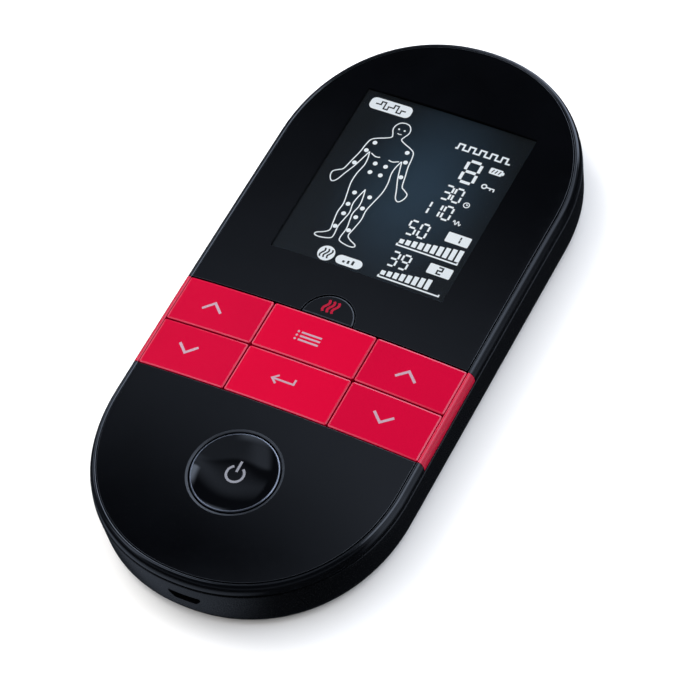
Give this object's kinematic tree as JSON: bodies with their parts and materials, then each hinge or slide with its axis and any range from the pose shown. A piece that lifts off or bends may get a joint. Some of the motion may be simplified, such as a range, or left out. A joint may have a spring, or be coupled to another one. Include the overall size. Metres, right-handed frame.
{
  "type": "tens unit",
  "caption": "Slim rounded hand-held nerve stimulator with a display panel, a red band of keys, a half-round heat key and a round power button.",
  "frame": {"origin": "centre of the outline, on the flat rear face it lies on", "axes": "+X across the width, towards the channel 2 keys; +Y along the length, towards the display end; +Z out of the front"},
  "size_m": [0.0654, 0.139, 0.0149],
  "materials": {
    "gloss_black": "gloss",
    "rim_black": "semi-gloss",
    "satin_black": "satin",
    "key_red": "satin",
    "board_green": "solder mask",
    "display_glass": "gloss",
    "white_plastic": "satin",
    "tinned_steel": "plated",
    "gold_contact": "plated",
    "cell_foil": "foil",
    "foam_grey": "matte",
    "chip_black": "matte",
    "ferrite": "matte",
    "label_grey": "matte film",
    "wire_red": "satin",
    "wire_black": "satin"
  },
  "bodies": {
    "case": {"backlight_guide": "white_plastic", "battery_cell": "cell_foil", "battery_connector": "white_plastic", "battery_lead_negative": "wire_black", "battery_lead_positive": "wire_red", "battery_pad": "foam_grey", "case_screw_1": "tinned_steel", "case_screw_2": "tinned_steel", "case_screw_3": "tinned_steel", "case_screw_4": "tinned_steel", "channel_1_down_switch": "tinned_steel", "channel_1_up_switch": "tinned_steel", "channel_2_down_switch": "tinned_steel", "channel_2_up_switch": "tinned_steel", "charger_chip": "chip_black", "charging_port_shell": "tinned_steel", "charging_port_tongue": "chip_black", "controller_chip": "chip_black", "display_contact_strip": "foam_grey", "display_frame": "chip_black", "display_glass": "display_glass", "display_lens": "gloss_black", "enter_switch": "tinned_steel", "front_casing": "rim_black", "heat_switch": "tinned_steel", "left_rim_trim": "key_red", "lower_panel": "gloss_black", "main_board": "board_green", "menu_switch": "tinned_steel", "output_contact_1": "gold_contact", "output_contact_2": "gold_contact", "output_socket_1": "chip_black", "output_socket_2": "chip_black", "output_transformer_1": "ferrite", "output_transformer_2": "ferrite", "power_switch": "tinned_steel", "rating_label": "label_grey", "rear_casing": "satin_black", "right_rim_trim": "key_red", "sounder": "chip_black", "storage_capacitor": "cell_foil"},
    "channel_1_up": {"channel_1_up_key": "key_red", "channel_1_up_plunger": "chip_black"},
    "channel_1_down": {"channel_1_down_key": "key_red", "channel_1_down_plunger": "chip_black"},
    "menu": {"menu_key": "key_red", "menu_plunger": "chip_black"},
    "enter": {"enter_key": "key_red", "enter_plunger": "chip_black"},
    "channel_2_up": {"channel_2_up_key": "key_red", "channel_2_up_plunger": "chip_black"},
    "channel_2_down": {"channel_2_down_key": "key_red", "channel_2_down_plunger": "chip_black"},
    "heat": {"heat_key": "gloss_black", "heat_plunger": "chip_black"},
    "power": {"power_button": "gloss_black", "power_plunger": "chip_black"}
  },
  "joints": [
    {"name": "channel_1_up_press", "type": "slide", "parent": "case", "child": "channel_1_up", "axis": [0, 0, -1], "range_m": [0, 0.00045], "stiffness_N_per_m": 150, "springref_m": -0.0001},
    {"name": "channel_1_down_press", "type": "slide", "parent": "case", "child": "channel_1_down", "axis": [0, 0, -1], "range_m": [0, 0.00045], "stiffness_N_per_m": 150, "springref_m": -0.0001},
    {"name": "menu_press", "type": "slide", "parent": "case", "child": "menu", "axis": [0, 0, -1], "range_m": [0, 0.00045], "stiffness_N_per_m": 150, "springref_m": -0.0001},
    {"name": "enter_press", "type": "slide", "parent": "case", "child": "enter", "axis": [0, 0, -1], "range_m": [0, 0.00045], "stiffness_N_per_m": 150, "springref_m": -0.0001},
    {"name": "channel_2_up_press", "type": "slide", "parent": "case", "child": "channel_2_up", "axis": [0, 0, -1], "range_m": [0, 0.00045], "stiffness_N_per_m": 150, "springref_m": -0.0001},
    {"name": "channel_2_down_press", "type": "slide", "parent": "case", "child": "channel_2_down", "axis": [0, 0, -1], "range_m": [0, 0.00045], "stiffness_N_per_m": 150, "springref_m": -0.0001},
    {"name": "heat_press", "type": "slide", "parent": "case", "child": "heat", "axis": [0, 0, -1], "range_m": [0, 0.00045], "stiffness_N_per_m": 150, "springref_m": -0.0001},
    {"name": "power_press", "type": "slide", "parent": "case", "child": "power", "axis": [0, 0, -1], "range_m": [0, 0.00045], "stiffness_N_per_m": 150, "springref_m": -0.0001}
  ]
}
